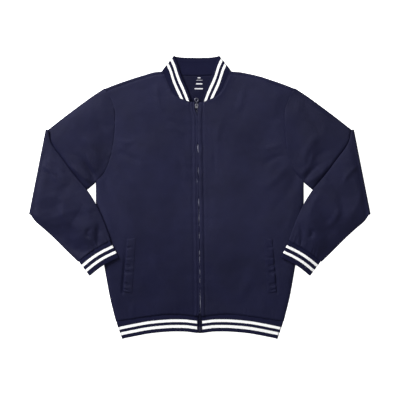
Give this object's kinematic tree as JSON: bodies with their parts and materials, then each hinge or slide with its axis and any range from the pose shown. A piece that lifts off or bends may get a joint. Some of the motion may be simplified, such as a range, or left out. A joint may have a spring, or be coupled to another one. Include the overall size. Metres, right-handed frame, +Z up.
{
  "type": "bomber jacket laid flat",
  "caption": "Zipped bomber jacket laid flat on its back, sleeves folded in at the elbow, with striped rib collar, cuffs and hem, slanted welt pockets and a swinging zip pull.",
  "frame": {"origin": "on the table under the middle of the jacket's box", "axes": "+Z up from the table through the layers, +Y from hem to collar, +X towards the wearer's left sleeve (the right-hand side seen from above)"},
  "size_m": [0.9402, 0.78, 0.0135],
  "materials": {
    "shell": "matt tight-woven navy shell cloth",
    "rib": "navy rib knit with two knitted white stripes",
    "zip_tape": "woven navy zip tape",
    "zip_teeth": "moulded navy teeth, low gloss",
    "zip_metal": "tumbled grey die-cast slider, pull and stop",
    "print": "plain white heat-pressed bars inside the back neck"
  },
  "bodies": {
    "jacket": {"back_panel": "shell", "front_left": "shell", "front_right": "shell", "sleeve_left": "shell", "sleeve_right": "shell", "pocket_welt_left": "shell", "pocket_welt_right": "shell", "collar": "rib", "cuff_left": "rib", "cuff_right": "rib", "hem_rib": "rib", "zip_tape_left": "zip_tape", "zip_tape_right": "zip_tape", "zip_chain": "zip_teeth", "zip_stop": "zip_metal", "zip_slider": "zip_metal"},
    "pull_tab": {"zip_pull_tab": "zip_metal"}
  },
  "joints": [
    {"name": "pull_tab_swing", "type": "hinge", "parent": "jacket", "child": "pull_tab", "pos_m": [-0.00897, 0.253, 0.0077], "axis": [1, 0, 0], "range_deg": [0, 170]}
  ]
}
